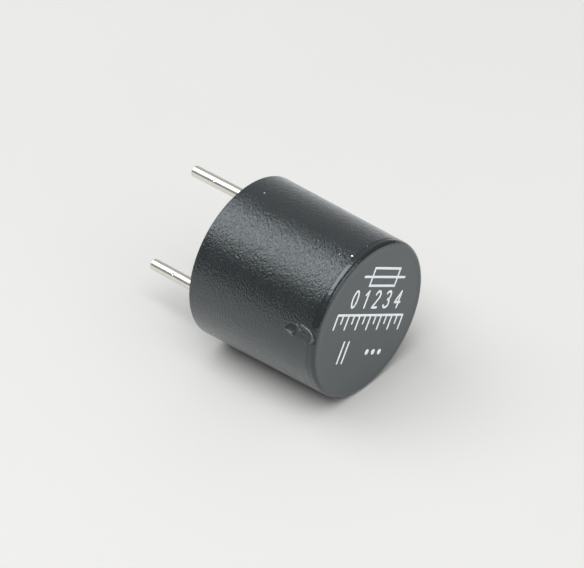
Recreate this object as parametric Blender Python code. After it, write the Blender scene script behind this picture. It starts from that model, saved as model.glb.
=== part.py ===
"""Subminiature radial-lead fuse.

A drafted moulded cap is pressed over a moulded base. Two round leads pass up through the base, are flattened
into forked paddles, and carry a fine wire wound round an insulating rod. The origin is the centre of the face
that seats on the board, +Z runs up the cap to its closed head, and the leads point down -Z at +X and -X.
"""

import math

import bmesh
import bpy
import numpy as np

MM = 0.001

# Cap
CAP_MOUTH_DIAMETER = 8.5 * MM
CAP_HEIGHT = 7.72 * MM
CAP_DRAFT = math.radians(1.17)
CAP_WALL = 0.6 * MM
CAP_HEAD_THICKNESS = 0.7 * MM
CAP_RIM_RADIUS = 0.15 * MM
CAP_MOUTH_EDGE_RADIUS = 0.06 * MM
CAP_CEILING_FILLET = 0.35 * MM
CAP_LEAD_IN_WIDTH = 0.08 * MM
CAP_LEAD_IN_DEPTH = 0.15 * MM

# Gate mark: an oval dish on the cap's side, close to the rim of the head, with the broken gate in its floor
GATE_AZIMUTH = math.radians(112.0)
GATE_BELOW_HEAD = 0.97 * MM
GATE_LENGTH = 1.5 * MM
GATE_WIDTH = 0.95 * MM
GATE_DEPTH = 0.14 * MM
GATE_NUB_DIAMETER = 0.34 * MM
GATE_NUB_HEIGHT = 0.06 * MM

# Base
STAND_OFF = 0.3 * MM
RIB_WIDTH = 1.0 * MM
RIB_END_GAP = 0.62 * MM
BASE_RECESS = 0.05 * MM
BASE_THICKNESS = 2.0 * MM
BASE_TOP_CHAMFER = 0.2 * MM
BASE_BOTTOM_CHAMFER = 0.05 * MM
SNAP_HEIGHT = 0.08 * MM
SNAP_WIDTH = 0.45 * MM
SNAP_ABOVE_MOUTH = 0.85 * MM
BOSS_HEIGHT = 0.8 * MM
BOSS_WALL = 0.3 * MM
BOSS_TAPER = 0.16 * MM
RELIEF_WIDTH = 0.3 * MM
RELIEF_DEPTH = 0.22 * MM
BARRIER_END_GAP = 1.4 * MM
BARRIER_FOOT_THICKNESS = 0.8 * MM
BARRIER_TOP_THICKNESS = 0.55 * MM
BARRIER_BELOW_WINDING = 0.36 * MM

# Leads
LEAD_DIAMETER = 0.6 * MM
LEAD_PITCH = 5.08 * MM
LEAD_BELOW_SEAT = 4.52 * MM
LEAD_TIP_RADIUS = 0.08 * MM
COLLAR_WIDTH = 0.15 * MM
COLLAR_HEIGHT = 0.16 * MM
NECK_HEIGHT = 0.31 * MM
PADDLE_TAPER = 0.55 * MM
PADDLE_THICKNESS = 0.22 * MM
PADDLE_BELOW_CORE = 0.8 * MM
PRONG_WIDTH = 0.33 * MM
PRONG_HEIGHT = 0.42 * MM
NICK_ABOVE_TIP = 1.37 * MM
NICK_RADIUS = 0.08 * MM
NICK_DEPTH = 0.035 * MM
NICK_AZIMUTH = math.radians(80.0)

# Fuse element
CORE_DIAMETER = 0.7 * MM
CORE_OVERHANG = 0.15 * MM
CORE_END_CHAMFER = 0.05 * MM
WIRE_DIAMETER = 0.12 * MM
WIRE_TURNS = 12
SOLDER_LENGTH = 0.6 * MM
SOLDER_FLARE = 0.24 * MM
SOLDER_LIP = 0.05 * MM

# Fits
BASE_CLEARANCE = 0.03 * MM
LEAD_CLEARANCE = 0.02 * MM
COLLAR_CLEARANCE = 0.03 * MM
ELEMENT_CLEARANCE = 0.02 * MM

# Facets and shape of outlines
BODY_SEGMENTS = 96
BOSS_SEGMENTS = 32
LEAD_SEGMENTS = 24
CORE_SEGMENTS = 24
DISH_SEGMENTS = 28
NUB_SEGMENTS = 12
RIM_STEPS = 6
FILLET_STEPS = 5
EDGE_STEPS = 3
FORK_STEPS = 12
TAPER_STEPS = 6
WIRE_POINTS_PER_TURN = 10
ROUND_POWER = 2.0
CORNER_POWER = 8.0
SHARP_ANGLE = math.radians(35.0)
OVERSHOOT = 0.5 * MM
DISH_BLUNTNESS = 3.0
WELD_DISTANCE = 0.001 * MM

# Derived sizes
LEAD_RADIUS = LEAD_DIAMETER / 2
HOLE_RADIUS = LEAD_RADIUS + LEAD_CLEARANCE
CORE_RADIUS = CORE_DIAMETER / 2
FORK_RADIUS = CORE_RADIUS + ELEMENT_CLEARANCE
PADDLE_HALF_WIDTH = FORK_RADIUS + PRONG_WIDTH
WINDING_RADIUS = CORE_RADIUS + ELEMENT_CLEARANCE + WIRE_DIAMETER / 2
WINDING_OUTSIDE = WINDING_RADIUS + WIRE_DIAMETER / 2

# Derived places
HEAD_Z = STAND_OFF + CAP_HEIGHT
CEILING_Z = HEAD_Z - CAP_HEAD_THICKNESS
SNAP_Z = STAND_OFF + SNAP_ABOVE_MOUTH
BASE_BOTTOM_Z = STAND_OFF + BASE_RECESS
BASE_TOP_Z = BASE_BOTTOM_Z + BASE_THICKNESS
BOSS_TOP_Z = BASE_TOP_Z + BOSS_HEIGHT
COLLAR_Z = BOSS_TOP_Z + COLLAR_CLEARANCE
COLLAR_TOP_Z = COLLAR_Z + COLLAR_HEIGHT
TAPER_Z = COLLAR_TOP_Z + NECK_HEIGHT
PADDLE_Z = TAPER_Z + PADDLE_TAPER
ELEMENT_Z = PADDLE_Z + PADDLE_BELOW_CORE
PADDLE_TOP_Z = ELEMENT_Z + PRONG_HEIGHT
PADDLE_INNER_X = LEAD_PITCH / 2 - PADDLE_THICKNESS / 2
PADDLE_OUTER_X = LEAD_PITCH / 2 + PADDLE_THICKNESS / 2
LEADS = (("left", -LEAD_PITCH / 2), ("right", LEAD_PITCH / 2))


def outer_radius(z):
    """Radius of the cap's drafted side at height z."""
    return CAP_MOUTH_DIAMETER / 2 - (z - STAND_OFF) * math.tan(CAP_DRAFT)


def bore_radius(z):
    """Radius of the cap's bore at height z: the side's draft, one wall inside it."""
    return outer_radius(z) - CAP_WALL


def plug_radius(z):
    """Radius of what fits inside the cap's bore at height z."""
    return bore_radius(z) - BASE_CLEARANCE


def arc(centre_r, centre_z, radius, start, end, steps):
    """Points of an arc in the profile plane, angles in degrees from +R towards +Z."""
    angles = np.radians(np.linspace(start, end, steps + 1))
    return [(centre_r + radius * math.cos(a), centre_z + radius * math.sin(a)) for a in angles]


def clear_scene():
    for obj in list(bpy.data.objects):
        bpy.data.objects.remove(obj, do_unlink=True)


def make_material(name, colour, roughness, metallic=0.0):
    material = bpy.data.materials.new(name)
    material.use_nodes = True
    shader = material.node_tree.nodes["Principled BSDF"]
    shader.inputs["Base Color"].default_value = (*colour, 1.0)
    shader.inputs["Roughness"].default_value = roughness
    shader.inputs["Metallic"].default_value = metallic
    material.diffuse_color = (*colour, 1.0)
    return material


def add_object(name, mesh, material=None, location=(0.0, 0.0, 0.0), turn_y=0.0):
    """Links the mesh as an object at its place, shaded smooth except at its sharp edges."""
    shade(mesh)
    obj = bpy.data.objects.new(name, mesh)
    obj.location = location
    obj.rotation_euler = (0.0, turn_y, 0.0)
    bpy.context.scene.collection.objects.link(obj)
    if material:
        obj.data.materials.append(material)
    return obj


def shade(mesh):
    mesh.shade_smooth()
    mesh.set_sharp_from_angle(angle=SHARP_ANGLE)


def mesh_of(name, bm):
    """Turns a bmesh into a mesh with its faces pointing out."""
    bmesh.ops.remove_doubles(bm, verts=bm.verts, dist=WELD_DISTANCE)
    bmesh.ops.recalc_face_normals(bm, faces=bm.faces)
    mesh = bpy.data.meshes.new(name)
    bm.to_mesh(mesh)
    bm.free()
    return mesh


def turned(name, profile, segments, closed=False):
    """Spins a profile of (radius, height) points about Z. An open profile ends on the axis at both ends."""
    bm = bmesh.new()
    verts = [bm.verts.new((r, 0.0, z)) for r, z in profile]
    edges = [bm.edges.new(pair) for pair in zip(verts, verts[1:])]
    if closed:
        edges.append(bm.edges.new((verts[-1], verts[0])))
    bmesh.ops.spin(
        bm,
        geom=verts + edges,
        cent=(0.0, 0.0, 0.0),
        axis=(0.0, 0.0, 1.0),
        angle=math.tau,
        steps=segments,
        use_merge=True,
    )
    return mesh_of(name, bm)


def lofted(name, rings):
    """Joins rings of equal count point to point, given as arrays of points, and closes both ends."""
    bm = bmesh.new()
    loops = [[bm.verts.new(tuple(point)) for point in ring] for ring in rings]
    for lower, upper in zip(loops, loops[1:]):
        for i in range(len(lower)):
            bm.faces.new((lower[i - 1], lower[i], upper[i], upper[i - 1]))
    bm.faces.new(loops[0])
    bm.faces.new(loops[-1])
    return mesh_of(name, bm)


def combine(obj, operation, mesh, x=0.0):
    """Joins, cuts or trims the object by a body that stands at x, with an exact Boolean that is applied."""
    tool = add_object(mesh.name, mesh, location=(x, 0.0, 0.0))
    modifier = obj.modifiers.new(mesh.name, "BOOLEAN")
    modifier.operation = operation
    modifier.solver = "EXACT"
    modifier.object = tool
    bpy.context.view_layer.update()
    graph = bpy.context.evaluated_depsgraph_get()
    result = bpy.data.meshes.new_from_object(obj.evaluated_get(graph))
    obj.modifiers.clear()
    obj.data = result
    clean(result)
    shade(result)
    bpy.data.objects.remove(tool, do_unlink=True)


def clean(mesh):
    """Merges points that lie on each other after a Boolean, and drops the needle faces between them."""
    bm = bmesh.new()
    bm.from_mesh(mesh)
    bmesh.ops.remove_doubles(bm, verts=bm.verts, dist=WELD_DISTANCE)
    bmesh.ops.dissolve_degenerate(bm, edges=bm.edges, dist=WELD_DISTANCE)
    bm.to_mesh(mesh)
    bm.free()


def superellipse(half_x, half_y, power, z, count):
    """Ring at height z: an ellipse at power 2, and closer to a rectangle at larger powers."""
    angles = np.arange(count) * math.tau / count
    cosines = np.round(np.cos(angles), 12)
    sines = np.round(np.sin(angles), 12)
    x = half_x * np.sign(cosines) * np.abs(cosines) ** (2 / power)
    y = half_y * np.sign(sines) * np.abs(sines) ** (2 / power)
    return np.stack([x, y, np.full(count, z)], axis=1)


def cap_profile():
    """Half section of the cap, from the head's centre down the side, round the mouth and up the bore."""
    rim_z = HEAD_Z - CAP_RIM_RADIUS
    rim_r = outer_radius(rim_z) - CAP_RIM_RADIUS / math.cos(CAP_DRAFT)
    edge_z = STAND_OFF + CAP_MOUTH_EDGE_RADIUS
    edge_r = outer_radius(edge_z) - CAP_MOUTH_EDGE_RADIUS
    lead_in_z = STAND_OFF + CAP_LEAD_IN_DEPTH
    fillet_z = CEILING_Z - CAP_CEILING_FILLET
    fillet_r = bore_radius(fillet_z) - CAP_CEILING_FILLET
    points = [(0.0, HEAD_Z)]
    points += arc(rim_r, rim_z, CAP_RIM_RADIUS, 90.0, math.degrees(CAP_DRAFT), RIM_STEPS)
    points += arc(edge_r, edge_z, CAP_MOUTH_EDGE_RADIUS, 0.0, -90.0, EDGE_STEPS)
    points += [(bore_radius(STAND_OFF) + CAP_LEAD_IN_WIDTH, STAND_OFF)]
    points += [(bore_radius(lead_in_z), lead_in_z)]
    points += [(bore_radius(z) + rise, z) for rise, z in snap_points()]
    points += arc(fillet_r, fillet_z, CAP_CEILING_FILLET, 0.0, 90.0, FILLET_STEPS)
    points += [(0.0, CEILING_Z)]
    return points


def snap_points():
    """The snap's three corners, bottom to top: how far each stands out of the bore's line, and its height."""
    half = SNAP_WIDTH / 2
    return [(0.0, SNAP_Z - half), (SNAP_HEIGHT, SNAP_Z), (0.0, SNAP_Z + half)]


def on_cap_side(azimuth, below_head):
    """Point on the cap's side, and the axes there: along the cap, round it, and outwards."""
    z = HEAD_Z - below_head
    along = np.array([0.0, 0.0, 1.0])
    around = np.array([-math.sin(azimuth), math.cos(azimuth), 0.0])
    out = np.array([math.cos(azimuth), math.sin(azimuth), 0.0])
    return outer_radius(z) * out + z * along, (along, around, out)


def ellipsoid(name, centre, axes, half_sizes, segments):
    """Ellipsoid with its three half sizes along the given axes, the last one being the poles' direction."""
    bm = bmesh.new()
    bmesh.ops.create_uvsphere(bm, u_segments=segments, v_segments=segments // 2, radius=1.0)
    for vert in bm.verts:
        scaled = [coordinate * half for coordinate, half in zip(vert.co, half_sizes)]
        vert.co = centre + sum(length * axis for length, axis in zip(scaled, axes))
    return mesh_of(name, bm)


def dish_sizes(length, width, depth):
    """Half sizes of an ellipsoid that cuts such a dish, and how far outside the wall its centre lies."""
    half_out = DISH_BLUNTNESS * depth
    stand_away = half_out - depth
    share = math.sqrt(1.0 - (stand_away / half_out) ** 2)
    return (length / 2 / share, width / 2 / share, half_out), stand_away


def make_cap(material):
    cap = add_object("cap", turned("cap", cap_profile(), BODY_SEGMENTS), material)
    place, axes = on_cap_side(GATE_AZIMUTH, GATE_BELOW_HEAD)
    out = axes[-1]
    half_sizes, away = dish_sizes(GATE_LENGTH, GATE_WIDTH, GATE_DEPTH)
    combine(cap, "DIFFERENCE", ellipsoid("gate_dish", place + away * out, axes, half_sizes, DISH_SEGMENTS))
    nub_sizes = (GATE_NUB_DIAMETER / 2, GATE_NUB_DIAMETER / 2, GATE_NUB_HEIGHT)
    combine(cap, "UNION", ellipsoid("gate_nub", place - GATE_DEPTH * out, axes, nub_sizes, NUB_SEGMENTS))
    return cap


def base_profile():
    """Half section of the base's plug, from the top's centre round the side to the bottom's centre."""
    shoulder_z = BASE_TOP_Z - BASE_TOP_CHAMFER
    foot_z = BASE_BOTTOM_Z + BASE_BOTTOM_CHAMFER
    points = [(0.0, BASE_TOP_Z), (plug_radius(shoulder_z) - BASE_TOP_CHAMFER, BASE_TOP_Z)]
    points += [(plug_radius(shoulder_z), shoulder_z)]
    points += [(plug_radius(z) + rise, z) for rise, z in reversed(snap_points())]
    points += [(plug_radius(foot_z), foot_z)]
    points += [(plug_radius(foot_z) - BASE_BOTTOM_CHAMFER, BASE_BOTTOM_Z), (0.0, BASE_BOTTOM_Z)]
    return points


def boss(name):
    """Drafted boss that steadies one lead, sunk a little into the plug so that the two join."""
    root_z = BASE_TOP_Z - OVERSHOOT
    top_radius = HOLE_RADIUS + BOSS_WALL
    foot_radius = top_radius + BOSS_TAPER
    profile = [(0.0, BOSS_TOP_Z), (top_radius, BOSS_TOP_Z), (foot_radius, BASE_TOP_Z)]
    profile += [(foot_radius, root_z), (0.0, root_z)]
    return turned(name, profile, BOSS_SEGMENTS)


def barrier(name):
    """Drafted wall across the base between the leads, with rounded top corners."""
    root_z = BASE_TOP_Z - OVERSHOOT
    top_z = ELEMENT_Z - WINDING_OUTSIDE - BARRIER_BELOW_WINDING
    foot = (BARRIER_FOOT_THICKNESS / 2, plug_radius(BASE_TOP_Z) - BARRIER_END_GAP)
    top = (BARRIER_TOP_THICKNESS / 2, foot[1] - BARRIER_TOP_THICKNESS / 2)
    sections = ((foot, root_z), (foot, BASE_TOP_Z), (top, top_z))
    return lofted(name, [superellipse(*half, CORNER_POWER, z, BOSS_SEGMENTS) for half, z in sections])


def stand_off_rib(name):
    """Rib across the base's underside, with round ends. Its lower face is the seat on the board."""
    half = RIB_WIDTH / 2
    straight = plug_radius(BASE_BOTTOM_Z) - RIB_END_GAP - half
    outline = arc(0.0, straight, half, 0.0, 180.0, FORK_STEPS)
    outline += arc(0.0, -straight, half, 180.0, 360.0, FORK_STEPS)
    heights = (0.0, BASE_BOTTOM_Z + OVERSHOOT)
    return lofted(name, [np.array([(x, y, z) for x, y in outline]) for z in heights])


def inside_of_cap(name):
    """Body that trims whatever stands on the plug to the cap's bore, and clears the plug itself."""
    wide = plug_radius(BASE_BOTTOM_Z) + OVERSHOOT
    profile = [
        (0.0, CEILING_Z),
        (plug_radius(CEILING_Z), CEILING_Z),
        (plug_radius(BASE_TOP_Z), BASE_TOP_Z),
        (wide, BASE_TOP_Z),
        (wide, -OVERSHOOT),
        (0.0, -OVERSHOOT),
    ]
    return turned(name, profile, BODY_SEGMENTS)


def lead_hole(name):
    """Cutter for one lead's hole, with the wider relief that keeps solder off the base's underside."""
    relief_radius = HOLE_RADIUS + RELIEF_WIDTH
    relief_z = BASE_BOTTOM_Z + RELIEF_DEPTH
    profile = [
        (0.0, BOSS_TOP_Z + OVERSHOOT),
        (HOLE_RADIUS, BOSS_TOP_Z + OVERSHOOT),
        (HOLE_RADIUS, relief_z + RELIEF_WIDTH),
        (relief_radius, relief_z),
        (relief_radius, BASE_BOTTOM_Z - OVERSHOOT),
        (0.0, BASE_BOTTOM_Z - OVERSHOOT),
    ]
    return turned(name, profile, LEAD_SEGMENTS)


def make_base(material):
    base = add_object("base", turned("base", base_profile(), BODY_SEGMENTS), material)
    for side, x in LEADS:
        combine(base, "UNION", boss(f"boss_{side}"), x)
    combine(base, "UNION", barrier("barrier"))
    combine(base, "UNION", stand_off_rib("stand_off_rib"))
    combine(base, "INTERSECT", inside_of_cap("inside_of_cap"))
    for side, x in LEADS:
        combine(base, "DIFFERENCE", lead_hole(f"lead_hole_{side}"), x)
    return base


def lead_rings():
    """Sections of a lead from its rounded tip, up past the collar, into the flattened paddle."""
    tip_z = LEAD_TIP_RADIUS - LEAD_BELOW_SEAT
    collar_radius = LEAD_RADIUS + COLLAR_WIDTH
    sections = arc(LEAD_RADIUS - LEAD_TIP_RADIUS, tip_z, LEAD_TIP_RADIUS, -90.0, 0.0, EDGE_STEPS)
    sections += [(LEAD_RADIUS, COLLAR_Z), (collar_radius, COLLAR_Z)]
    sections += [(collar_radius, COLLAR_TOP_Z), (LEAD_RADIUS, COLLAR_TOP_Z)]
    rings = [superellipse(r, r, ROUND_POWER, z, LEAD_SEGMENTS) for r, z in sections]
    for share in np.linspace(0.0, 1.0, TAPER_STEPS + 1):
        ease = share * share * (3.0 - 2.0 * share)
        half_x = LEAD_RADIUS + ease * (PADDLE_THICKNESS / 2 - LEAD_RADIUS)
        half_y = LEAD_RADIUS + ease * (PADDLE_HALF_WIDTH - LEAD_RADIUS)
        power = ROUND_POWER + ease * (CORNER_POWER - ROUND_POWER)
        z = TAPER_Z + share * PADDLE_TAPER
        rings.append(superellipse(half_x, half_y, power, z, LEAD_SEGMENTS))
    half_sizes = (PADDLE_THICKNESS / 2, PADDLE_HALF_WIDTH)
    rings.append(superellipse(*half_sizes, CORNER_POWER, PADDLE_TOP_Z, LEAD_SEGMENTS))
    return rings


def fork_cutter(name):
    """U-shaped cutter that opens the paddle's top edge for the core."""
    top_z = PADDLE_TOP_Z + OVERSHOOT
    outline = [(FORK_RADIUS, top_z), (-FORK_RADIUS, top_z)]
    outline += arc(0.0, ELEMENT_Z, FORK_RADIUS, 180.0, 360.0, FORK_STEPS)
    reach = PADDLE_THICKNESS / 2 + OVERSHOOT
    return lofted(name, [np.array([(x, y, z) for y, z in outline]) for x in (-reach, reach)])


def nick_cutter(name):
    """Small ball that leaves a witness nick part of the way up a lead."""
    reach = LEAD_RADIUS + NICK_RADIUS - NICK_DEPTH
    height = NICK_ABOVE_TIP - LEAD_BELOW_SEAT
    centre = np.array([reach * math.cos(NICK_AZIMUTH), reach * math.sin(NICK_AZIMUTH), height])
    return ellipsoid(name, centre, np.eye(3), [NICK_RADIUS] * 3, NUB_SEGMENTS)


def make_lead(side, x, material):
    name = f"lead_{side}"
    lead = add_object(name, lofted(name, lead_rings()), material, (x, 0.0, 0.0))
    combine(lead, "DIFFERENCE", fork_cutter(f"fork_{side}"), x)
    combine(lead, "DIFFERENCE", nick_cutter(f"nick_{side}"), x)
    return lead


def make_core(material):
    """Plain rod along X, resting in both forks."""
    end = PADDLE_OUTER_X + CORE_OVERHANG
    chamfer = CORE_END_CHAMFER
    profile = [
        (0.0, end),
        (CORE_RADIUS - chamfer, end),
        (CORE_RADIUS, end - chamfer),
        (CORE_RADIUS, chamfer - end),
        (CORE_RADIUS - chamfer, -end),
        (0.0, -end),
    ]
    mesh = turned("element_core", profile, CORE_SEGMENTS)
    return add_object("element_core", mesh, material, (0.0, 0.0, ELEMENT_Z), math.pi / 2)


def make_winding(material):
    """Wire wound round the core as a helix, from inside one solder collar to inside the other."""
    reach = PADDLE_INNER_X - ELEMENT_CLEARANCE - SOLDER_LENGTH / 2
    count = WIRE_TURNS * WIRE_POINTS_PER_TURN + 1
    share = np.linspace(0.0, 1.0, count)
    angle = share * WIRE_TURNS * math.tau
    points = np.stack(
        [
            -reach + share * 2 * reach,
            WINDING_RADIUS * np.cos(angle),
            ELEMENT_Z + WINDING_RADIUS * np.sin(angle),
        ],
        axis=1,
    )
    curve = bpy.data.curves.new("element_wire", "CURVE")
    curve.dimensions = "3D"
    curve.bevel_depth = WIRE_DIAMETER / 2
    curve.bevel_resolution = 2
    curve.use_fill_caps = True
    spline = curve.splines.new("POLY")
    spline.points.add(count - 1)
    for point, place in zip(spline.points, points):
        point.co = (*place, 1.0)
    wire = bpy.data.objects.new("element_wire", curve)
    bpy.context.scene.collection.objects.link(wire)
    curve.materials.append(material)
    return wire


def make_solder(side, x, material):
    """Collar of solder round the winding's end, flaring to the paddle's inner face."""
    bore = WINDING_OUTSIDE + ELEMENT_CLEARANCE
    flare = [
        (bore + SOLDER_LIP + SOLDER_FLARE * (1.0 - math.sin(angle)), SOLDER_LENGTH * (1.0 - math.cos(angle)))
        for angle in np.linspace(0.0, math.pi / 2, FILLET_STEPS + 1)
    ]
    profile = [(bore, 0.0)] + flare + [(bore, SOLDER_LENGTH)]
    name = f"solder_{side}"
    mesh = turned(name, profile, CORE_SEGMENTS, closed=True)
    inward = -math.copysign(1.0, x)
    location = (-inward * (PADDLE_INNER_X - ELEMENT_CLEARANCE), 0.0, ELEMENT_Z)
    return add_object(name, mesh, material, location, inward * math.pi / 2)


def main():
    clear_scene()
    moulding = make_material("black_moulding", (0.022, 0.023, 0.024), 0.55)
    tinned = make_material("tinned_copper", (0.72, 0.71, 0.68), 0.22, metallic=1.0)
    solder = make_material("solder", (0.62, 0.62, 0.62), 0.35, metallic=1.0)
    ceramic = make_material("core_ceramic", (0.80, 0.78, 0.72), 0.60)
    fuse_wire = make_material("fuse_wire", (0.70, 0.66, 0.60), 0.30, metallic=1.0)
    make_cap(moulding)
    make_base(moulding)
    make_core(ceramic)
    make_winding(fuse_wire)
    for side, x in LEADS:
        make_lead(side, x, tinned)
        make_solder(side, x, solder)


main()
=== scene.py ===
"""Looks of a subminiature radial fuse, round its packed construction.

The fuse keeps its own frame: the board face is at the origin, the head looks along +Z and the leads along
-Z. In the picture it lies on its side, so the floor is the plane that touches the drafted side at one
azimuth, and the camera looks down on it without roll. All sizes are in metres. Every new surface is a grid
of points worked out with numpy, and each function says its formula in words.
"""

import math

import bmesh
import bpy
import numpy as np
from mathutils import Matrix, Vector


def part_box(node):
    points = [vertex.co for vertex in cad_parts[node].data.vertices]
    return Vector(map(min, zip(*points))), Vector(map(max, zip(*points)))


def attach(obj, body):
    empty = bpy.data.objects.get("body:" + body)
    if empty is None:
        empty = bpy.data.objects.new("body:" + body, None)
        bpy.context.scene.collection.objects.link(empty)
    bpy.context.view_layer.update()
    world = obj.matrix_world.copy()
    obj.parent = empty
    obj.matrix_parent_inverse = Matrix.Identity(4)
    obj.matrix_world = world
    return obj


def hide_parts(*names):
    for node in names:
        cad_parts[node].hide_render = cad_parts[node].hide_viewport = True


MM = 0.001
BODY = "root"
TAU = math.tau

# Meshes: edges that turn further than the angle are sharp, a cut body's points are merged by the distance,
# and bodies that are joined or cut reach past each other by the overlap. Blunt outlines are nearly square.
SHARP_ANGLE = math.radians(40.0)
CUT_SHARP_ANGLE = math.radians(32.0)
MERGE_DISTANCE = 0.0005 * MM
OVERLAP = 0.5 * MM
BLUNT = 8.0

# Cap. The rim's round is smooth up to RIM_FINISH_END, in degrees from the side, and satin from there on.
CAP_DRAFT = math.radians(1.17)
CAP_WALL = 0.6 * MM
CAP_HEAD_THICKNESS = 0.7 * MM
CAP_RIM_RADIUS = 0.23 * MM
RIM_FINISH_END = 62.0
CAP_MOUTH_EDGE_RADIUS = 0.06 * MM
CAP_CEILING_FILLET = 0.35 * MM
CAP_LEAD_IN_WIDTH = 0.08 * MM
CAP_LEAD_IN_DEPTH = 0.15 * MM
HEAD_SINK = 0.014 * MM
HEAD_SINK_EDGE = 0.25 * MM
SMOOTH_BAND = 0.31 * MM
GRAIN_FADE = 0.2 * MM

# Gate mark on the cap's side: an egg-shaped scar with a torn pit, a burr, a lip and grains. The pit and
# groove take a dull dark finish that is partly painted shade, and the lip, burr and grains paler finishes
# that are partly painted highlight. Places are (around, along), and a grain is place, radius, rise and how
# far it takes the scuffed finish. Shares and reaches are in the egg's half sizes, and the grid is fine over
# the reaches. The groove's depth is a share of the lip's.
GATE_AZIMUTH = math.radians(112.0)
GATE_BELOW_HEAD = 0.99 * MM
GATE_HALF_LENGTH = 0.78 * MM
GATE_HALF_WIDTH = 0.385 * MM
GATE_EGG = 0.12
GATE_DEPTH = 0.03 * MM
GATE_LIP_HEIGHT = 0.05 * MM
GATE_LIP_SHARE = 0.06
GATE_LIP_TURN = math.radians(-28.0)
GATE_LIP_SPREAD = math.radians(64.0)
GATE_GROOVE_SHARE = 1.16
GATE_GROOVE_DEPTH = 0.6
GATE_RUN_OUT = 0.6
# Gain of the scuffed finish on the lip, which is partly a painted highlight
GATE_SCUFF_HIGHLIGHT_GAIN = 1.2
# Power of the pit in the torn finish, which is partly painted shade
GATE_TORN_SHADE_POWER = 0.6
GATE_REACH_AROUND = 1.5
GATE_REACH_ALONG = 1.3
GATE_PIT_PLACE = (-0.03 * MM, -0.50 * MM)
GATE_PIT_HALF_SIZES = (0.19 * MM, 0.28 * MM)
GATE_PIT_DEPTH = 0.08 * MM
GATE_BURR_PLACE = (0.215 * MM, -0.56 * MM)
GATE_BURR_TURN = math.radians(17.0)
GATE_BURR_HALF_SIZES = (0.055 * MM, 0.27 * MM)
GATE_BURR_HEIGHT = 0.03 * MM
GATE_GRAINS = (
    (-0.33 * MM, -0.23 * MM, 0.045 * MM, 0.035 * MM, 1.0),
    (-0.15 * MM, -0.03 * MM, 0.08 * MM, 0.035 * MM, 0.0),
    (0.38 * MM, 0.44 * MM, 0.045 * MM, 0.025 * MM, 0.0),
)

# Base
BASE_CLEARANCE = 0.03 * MM
RIB_WIDTH = 1.0 * MM
RIB_END_GAP = 0.62 * MM
RIB_EDGE_RADIUS = 0.07 * MM
RIB_ROOT_RADIUS = 0.06 * MM
BASE_RECESS = 0.05 * MM
BASE_THICKNESS = 2.0 * MM
BASE_TOP_CHAMFER = 0.2 * MM
BASE_BOTTOM_RADIUS = 0.05 * MM
SNAP_HEIGHT = 0.08 * MM
SNAP_WIDTH = 0.45 * MM
SNAP_ABOVE_MOUTH = 0.85 * MM
BOSS_HEIGHT = 0.8 * MM
BOSS_WALL = 0.3 * MM
BOSS_TAPER = 0.16 * MM
BOSS_EDGE_RADIUS = 0.05 * MM
HOLE_RADIUS = 0.32 * MM
RELIEF_WIDTH = 0.3 * MM
RELIEF_DEPTH = 0.22 * MM
RELIEF_EDGE_RADIUS = 0.05 * MM
BARRIER_END_GAP = 1.4 * MM
BARRIER_FOOT_THICKNESS = 0.8 * MM
BARRIER_TOP_THICKNESS = 0.55 * MM
BARRIER_TOP_RADIUS = 0.08 * MM
BARRIER_BELOW_WINDING = 0.36 * MM

# Leads
LEAD_RADIUS = 0.3 * MM
LEAD_PITCH = 5.08 * MM
LEAD_TIP_RADIUS = 0.08 * MM
COLLAR_WIDTH = 0.15 * MM
COLLAR_CLEARANCE = 0.03 * MM
COLLAR_HEIGHT = 0.16 * MM
NECK_HEIGHT = 0.31 * MM
PADDLE_TAPER = 0.55 * MM
PADDLE_THICKNESS = 0.22 * MM
PADDLE_HALF_WIDTH = 0.7 * MM
PADDLE_BELOW_CORE = 0.8 * MM
FORK_RADIUS = 0.37 * MM
FORK_CUT_PAST = 0.3 * MM
NICK_ABOVE_TIP = 1.5 * MM
NICK_RADIUS = 0.07 * MM
NICK_REACH = 1.2
NICK_DEPTH = 0.02 * MM
NICK_AZIMUTH = math.radians(80.0)

# Fuse element
CORE_RADIUS = 0.35 * MM
CORE_OVERHANG = 0.15 * MM
CORE_END_RADIUS = 0.05 * MM
WIRE_RADIUS = 0.06 * MM
WIRE_TURNS = 12
WINDING_RADIUS = 0.43 * MM
ELEMENT_CLEARANCE = 0.02 * MM
SOLDER_LENGTH = 0.6 * MM
SOLDER_FLARE = 0.24 * MM
SOLDER_LIP = 0.05 * MM
SOLDER_WAVES = 3
SOLDER_WAVE_HEIGHT = 0.10
SOLDER_WAVE_TWIST = 9.0

# Print on the head: reading direction, stroke and rows, from the head's centre. A dot is a short wide stroke.
READING_AZIMUTH = math.radians(-82.4)
INK_HALF_WIDTH = 0.062 * MM
INK_HEIGHT = 0.009 * MM
INK_SUNK = 0.004 * MM
DIGIT_HALF_WIDTH = 0.2 * MM
DIGIT_HALF_HEIGHT = 0.42 * MM
DIGIT_ROW = 1.10 * MM
DIGIT_STEP = 0.95 * MM
SYMBOL_ROW = 2.26 * MM
SYMBOL_HALF_LENGTH = 1.75 * MM
SYMBOL_BOX = (1.1 * MM, 0.45 * MM)
SCALE_ROW = 0.28 * MM
SCALE_HALF_LENGTH = 2.85 * MM
TICK_LONG = 0.72 * MM
TICK_SHORT = 0.42 * MM
TICKS = 13
BAR_PLACES = (-1.45 * MM, -1.05 * MM)
BAR_TOP = -1.12 * MM
BAR_FOOT = -2.2 * MM
DOT_PLACES = (0.85 * MM, 1.4 * MM, 1.95 * MM)
DOT_ROW = -1.66 * MM
DOT_RADIUS = 0.15 * MM
DOT_LENGTH = 0.001 * MM

# Pale specks on the cap's side: azimuth, height and radius of each speck, and how thick it is for its width
SPECK_FLATNESS = 0.6
SIDE_SPECKS = (
    (math.radians(48.7), 7.48 * MM, 0.042 * MM),
    (math.radians(36.4), 1.31 * MM, 0.020 * MM),
    (math.radians(51.9), 6.92 * MM, 0.016 * MM),
    (math.radians(34.5), 7.59 * MM, 0.012 * MM),
)

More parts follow.
